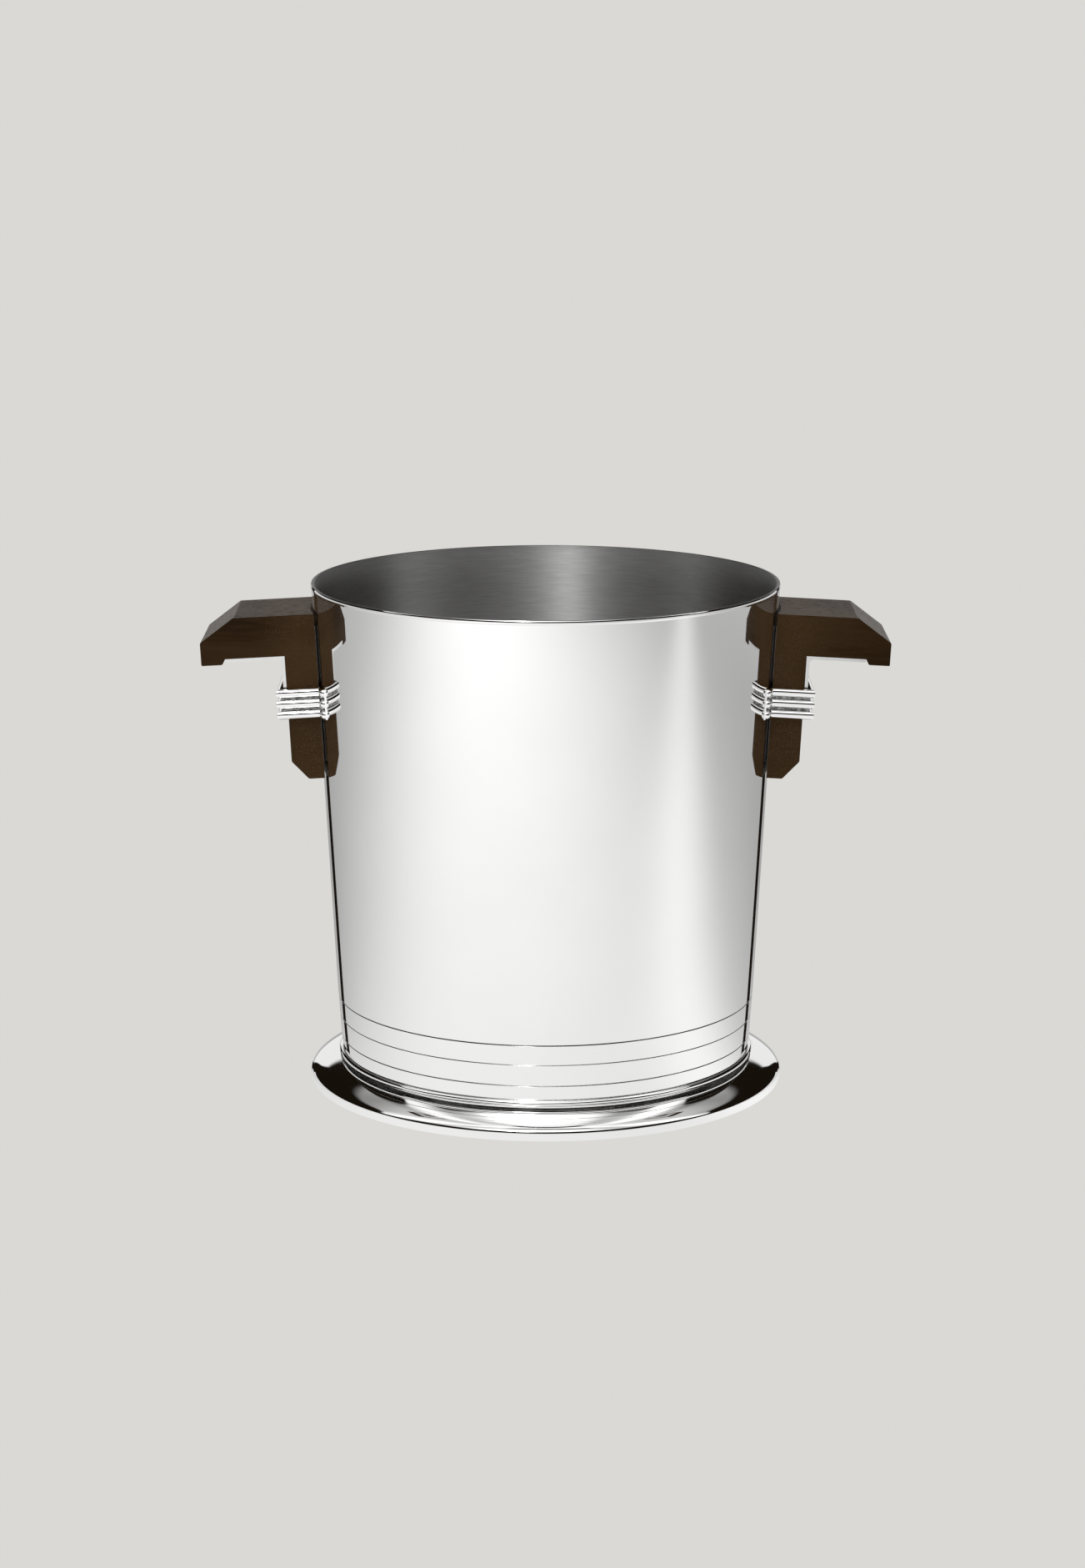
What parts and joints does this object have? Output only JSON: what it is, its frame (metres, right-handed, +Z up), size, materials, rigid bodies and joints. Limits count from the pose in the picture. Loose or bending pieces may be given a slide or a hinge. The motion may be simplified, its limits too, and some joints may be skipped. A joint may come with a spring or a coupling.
{
  "type": "champagne bucket",
  "caption": "Tapered polished silver champagne bucket with banded base, domed flange foot and L-shaped dark wood handles held in ribbed collars.",
  "frame": {"origin": "centre of the foot's flat base plane, on the drum's axis", "axes": "+Z up along the drum's axis; the two handles lie along +X and -X; the front is towards -Y"},
  "size_m": [0.2926, 0.205, 0.2177],
  "materials": {
    "silver_polished": "mirror polished silver",
    "silver_satin": "satin brushed silver",
    "handle_wood": "very dark brown satin oiled wood with fine open pores",
    "screw_steel": "bright steel"
  },
  "bodies": {
    "root": {"body_shell": "silver_polished", "bottom_plate": "silver_satin", "rim_wire": "silver_polished", "base_ring": "silver_polished", "foot": "silver_polished", "foot_wire": "silver_satin", "left_handle": "handle_wood", "left_strap": "silver_polished", "left_strap_screws": "screw_steel", "left_collar_band": "silver_polished", "left_collar_rib_top": "silver_polished", "left_collar_rib_middle": "silver_polished", "left_collar_rib_bottom": "silver_polished", "left_back_plate": "silver_polished", "right_handle": "handle_wood", "right_strap": "silver_polished", "right_strap_screws": "screw_steel", "right_collar_band": "silver_polished", "right_collar_rib_top": "silver_polished", "right_collar_rib_middle": "silver_polished", "right_collar_rib_bottom": "silver_polished", "right_back_plate": "silver_polished"}
  },
  "joints": []
}
